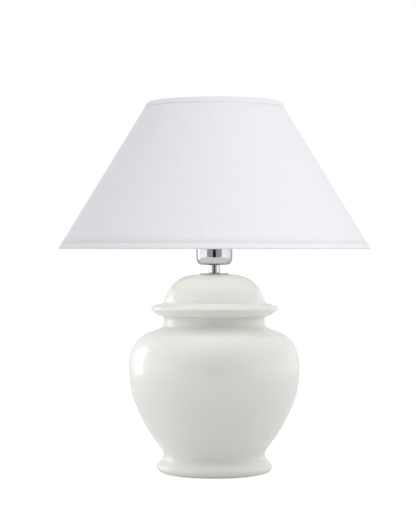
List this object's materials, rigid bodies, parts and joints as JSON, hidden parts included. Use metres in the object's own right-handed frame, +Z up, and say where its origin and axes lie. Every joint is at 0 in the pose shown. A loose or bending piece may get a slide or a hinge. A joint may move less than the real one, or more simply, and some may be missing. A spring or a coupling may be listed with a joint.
{
  "type": "table lamp",
  "caption": "Table lamp with a white glazed ceramic ginger-jar base, domed lid, chromed lampholder and a white conical fabric shade.",
  "frame": {"origin": "centre of the felt disc's underside, on the table", "axes": "+Z up along the lamp's axis, +Y to the back where the cord leaves, -Y to the front"},
  "size_m": [0.334, 0.334, 0.395],
  "materials": {
    "glaze": "high-gloss white glaze on white earthenware",
    "cork": "pressed cork, slightly rough",
    "felt": "short-pile felt",
    "steel": "zinc-plated steel",
    "chrome": "polished chrome plate",
    "bush": "white nylon",
    "porcelain": "unglazed white porcelain",
    "brass": "bright brass",
    "shade_cloth": "fine plain-weave cotton, cool white",
    "shade_liner": "smooth stiff film, matt white",
    "shade_tape": "bias-cut tape, cool white",
    "white_wire": "white powder coat on steel",
    "fibre": "vulcanised fibre",
    "bulb_cap": "bright aluminium",
    "bulb_contact": "tinned brass",
    "bulb_black": "black glass",
    "bulb_white": "white plastic",
    "opal": "opal diffuser, satin",
    "circuit_board": "white circuit board"
  },
  "bodies": {
    "stand": {"jar_body": "glaze", "jar_lid": "glaze", "lid_seal": "cork", "felt_disc": "felt", "base_plate": "steel", "base_washer": "steel", "base_nut": "steel", "threaded_tube": "steel", "cord_bush": "bush", "crown_washer": "chrome", "neck_tube": "chrome", "lampholder_cup": "chrome", "holder_nut": "steel", "lampholder_skirt": "chrome", "support_ring": "chrome", "socket_core": "porcelain", "screw_shell": "brass", "centre_contact": "brass", "terminal_screws": "brass"},
    "shade": {"shade_fabric": "shade_cloth", "shade_liner": "shade_liner", "lower_ring": "white_wire", "upper_ring": "white_wire", "lower_tape": "shade_tape", "upper_tape": "shade_tape", "fitter_ring": "white_wire", "fitter_arms": "white_wire"},
    "ring_carrier": {"clamp_washer": "fibre"},
    "clamp": {"clamp_ring": "chrome"},
    "bulb_carrier": {"bulb_contact": "bulb_contact"},
    "bulb": {"bulb_insulator": "bulb_black", "bulb_cap": "bulb_cap", "bulb_housing": "bulb_white", "bulb_globe": "opal", "bulb_board": "circuit_board"}
  },
  "joints": [
    {"name": "shade_turn", "type": "hinge", "parent": "stand", "child": "shade", "pos_m": [0, 0, 0.25405], "axis": [0, 0, 1], "continuous": true},
    {"name": "ring_rise", "type": "slide", "parent": "stand", "child": "ring_carrier", "axis": [0, 0, 1], "range_m": [0, 0.0075]},
    {"name": "ring_turn", "type": "hinge", "parent": "ring_carrier", "child": "clamp", "pos_m": [0, 0, 0.25615], "axis": [0, 0, 1], "range_deg": [0, 1080]},
    {"name": "bulb_rise", "type": "slide", "parent": "stand", "child": "bulb_carrier", "axis": [0, 0, 1], "range_m": [0, 0.0162]},
    {"name": "bulb_turn", "type": "hinge", "parent": "bulb_carrier", "child": "bulb", "pos_m": [0, 0, 0.2594], "axis": [0, 0, 1], "range_deg": [0, 1620]}
  ],
  "couplings": [
    {"joint": "ring_turn", "follows": "ring_rise", "rad_per_m": 2513.3},
    {"joint": "bulb_turn", "follows": "bulb_rise", "rad_per_m": 1745.3}
  ]
}
